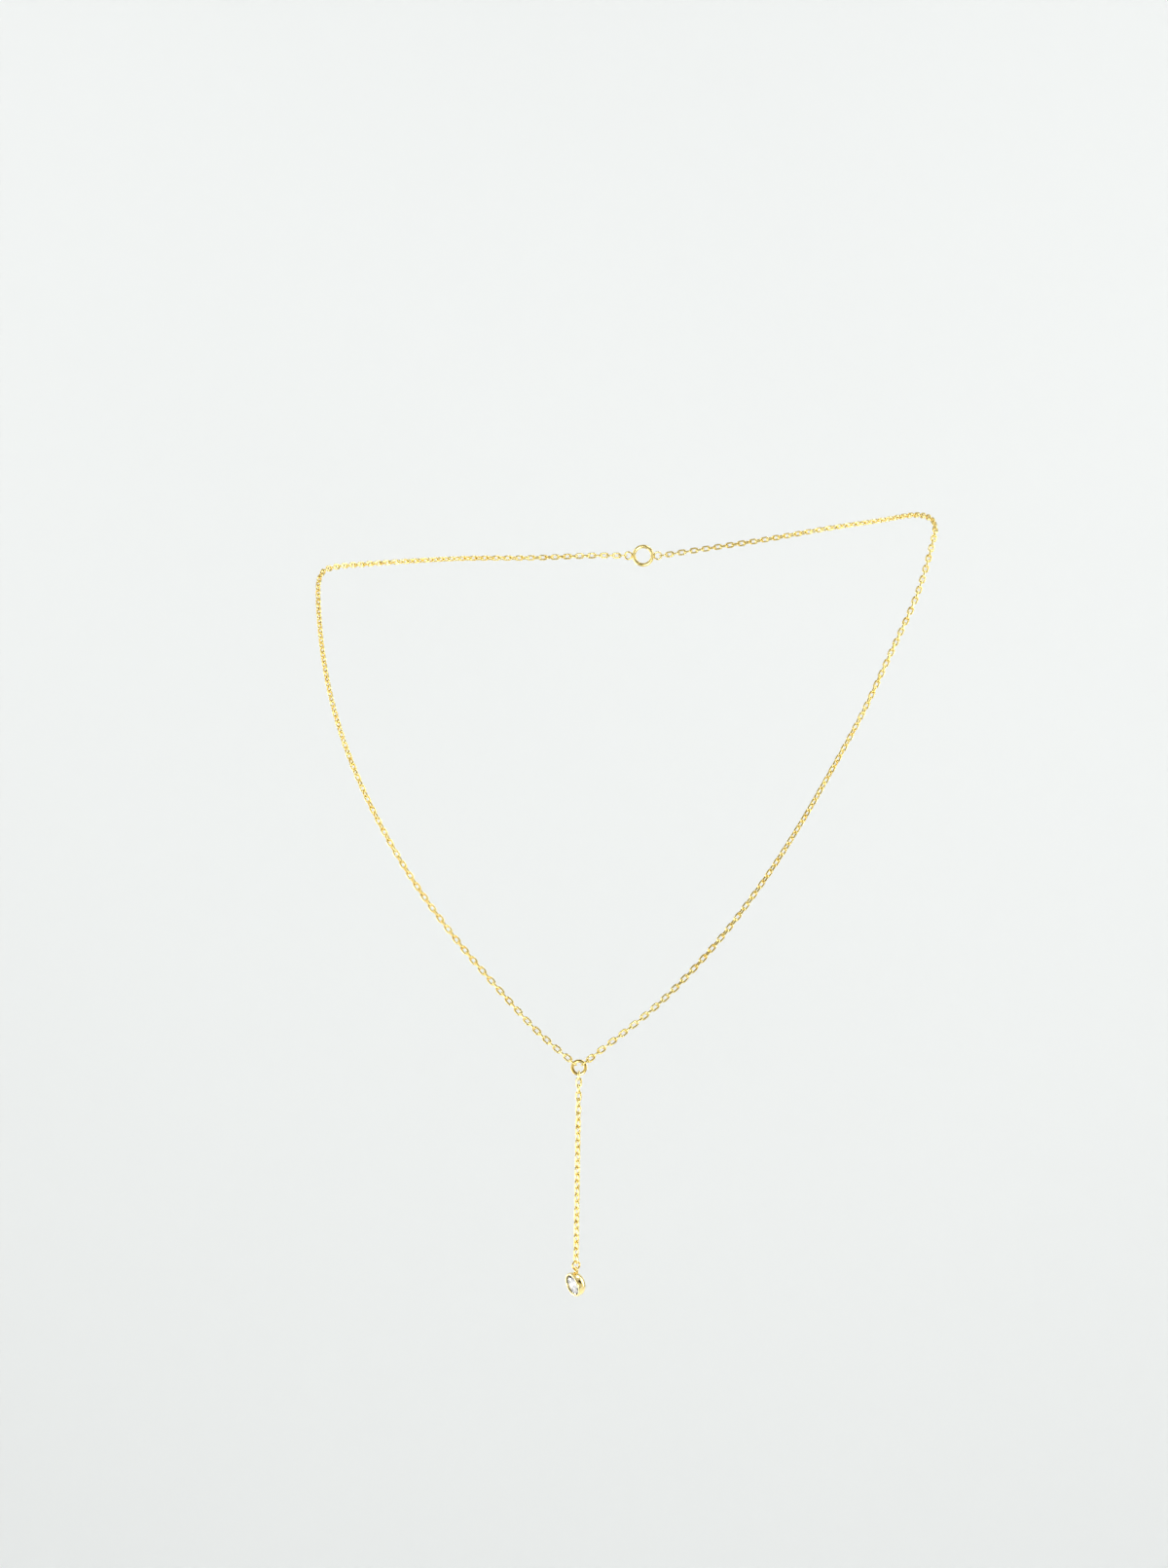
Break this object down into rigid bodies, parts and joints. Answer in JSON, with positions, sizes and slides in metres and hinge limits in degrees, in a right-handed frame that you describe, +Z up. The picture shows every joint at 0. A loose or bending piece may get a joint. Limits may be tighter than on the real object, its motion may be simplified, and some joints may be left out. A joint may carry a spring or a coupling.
{
  "type": "drop necklace",
  "caption": "Fine cable chain necklace with a centre ring, a short hanging drop chain and a round bezel-set clear stone, in its worn form.",
  "frame": {"origin": "middle of the neck opening, level with where the chain crosses the shoulders", "axes": "+Z up, -Y the way the wearer faces, +X to the wearer's left"},
  "size_m": [0.1483, 0.1177, 0.1771],
  "materials": {
    "gold_chain": "gold-plated brass wire, polished",
    "gold_ring": "gold-plated brass wire, polished",
    "gold_setting": "gold-plated brass casting, polished",
    "clear_stone": "faceted, clear and polished",
    "gold_clasp": "gold-plated brass, polished"
  },
  "bodies": {
    "necklace": {"neck_chain_left": "gold_chain", "neck_chain_right": "gold_chain", "back_chain_left": "gold_chain", "back_chain_right": "gold_chain", "drop_chain": "gold_chain", "centre_ring": "gold_ring", "pendant_ring": "gold_ring", "clasp": "gold_clasp"},
    "pendant": {"setting": "gold_setting", "stone": "clear_stone"}
  },
  "joints": [
    {"name": "pendant_swing", "type": "hinge", "parent": "necklace", "child": "pendant", "pos_m": [-0.00664, -0.06221, -0.16206], "axis": [-0.7714, -0.5813, -0.2588], "range_deg": [-100, 100]}
  ]
}
